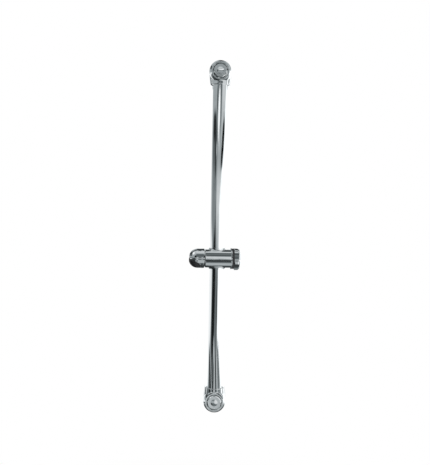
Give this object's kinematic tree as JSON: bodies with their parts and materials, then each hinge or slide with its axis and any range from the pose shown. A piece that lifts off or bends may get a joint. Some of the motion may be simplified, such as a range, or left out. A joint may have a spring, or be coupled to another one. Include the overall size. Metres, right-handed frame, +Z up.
{
  "type": "shower slide rail",
  "caption": "Chromed shower slide rail: a round tube between wall brackets with domed-end slider, pivoting handset holder and lobed clamp knob.",
  "frame": {"origin": "on the wall plane, half way between the two fixing screws", "axes": "+Z up along the rail, +Y into the wall, so the rail stands in front of it towards -Y; +X to the right, towards the clamp knob"},
  "size_m": [0.0934, 0.0707, 0.617],
  "materials": {
    "chrome": "bright chrome plate on metal",
    "chromed_plastic": "bright chrome plate on moulded plastic",
    "dark_plastic": "moulded, fine matt",
    "brass": "turned",
    "steel": "zinc plated"
  },
  "bodies": {
    "rail": {"rail_tube": "chrome", "upper_bracket": "chrome", "lower_bracket": "chrome", "upper_cap": "chromed_plastic", "lower_cap": "chromed_plastic", "upper_tube_plug": "dark_plastic", "lower_tube_plug": "dark_plastic", "upper_set_screw": "steel", "lower_set_screw": "steel"},
    "carriage": {"upper_glide_bush": "dark_plastic", "lower_glide_bush": "dark_plastic"},
    "slider": {"slider_body": "chrome", "collar_ring": "chrome", "knob_washer": "dark_plastic", "thread_bush": "brass", "friction_ring": "dark_plastic"},
    "holder": {"handset_holder": "chrome", "holder_liner": "dark_plastic", "pivot_screw": "steel", "pivot_washer": "steel"},
    "clamp": {"clamp_shoe": "dark_plastic"},
    "knob": {"clamp_knob": "chromed_plastic", "knob_spindle": "brass", "knob_screw": "steel", "knob_end_disc": "chromed_plastic"}
  },
  "joints": [
    {"name": "slider_height", "type": "slide", "parent": "rail", "child": "carriage", "axis": [0, 0, 1], "range_m": [-0.202, 0.278]},
    {"name": "slider_swivel", "type": "hinge", "parent": "carriage", "child": "slider", "pos_m": [0, -0.048, -0.038], "axis": [0, 0, 1], "range_deg": [-66, 49]},
    {"name": "holder_tilt", "type": "hinge", "parent": "slider", "child": "holder", "pos_m": [-0.0224, -0.05035, -0.038], "axis": [0.9945, 0.1045, 0], "range_deg": [-24, 96]},
    {"name": "clamp_travel", "type": "slide", "parent": "slider", "child": "clamp", "axis": [0.9945, 0.1045, 0], "range_m": [0, 0.00225]},
    {"name": "knob_turn", "type": "hinge", "parent": "clamp", "child": "knob", "pos_m": [0.02944, -0.04491, -0.038], "axis": [0.9945, 0.1045, 0], "range_deg": [0, 540]}
  ],
  "couplings": [
    {"joint": "clamp_travel", "follows": "knob_turn", "m_per_rad": 0.0002387}
  ]
}
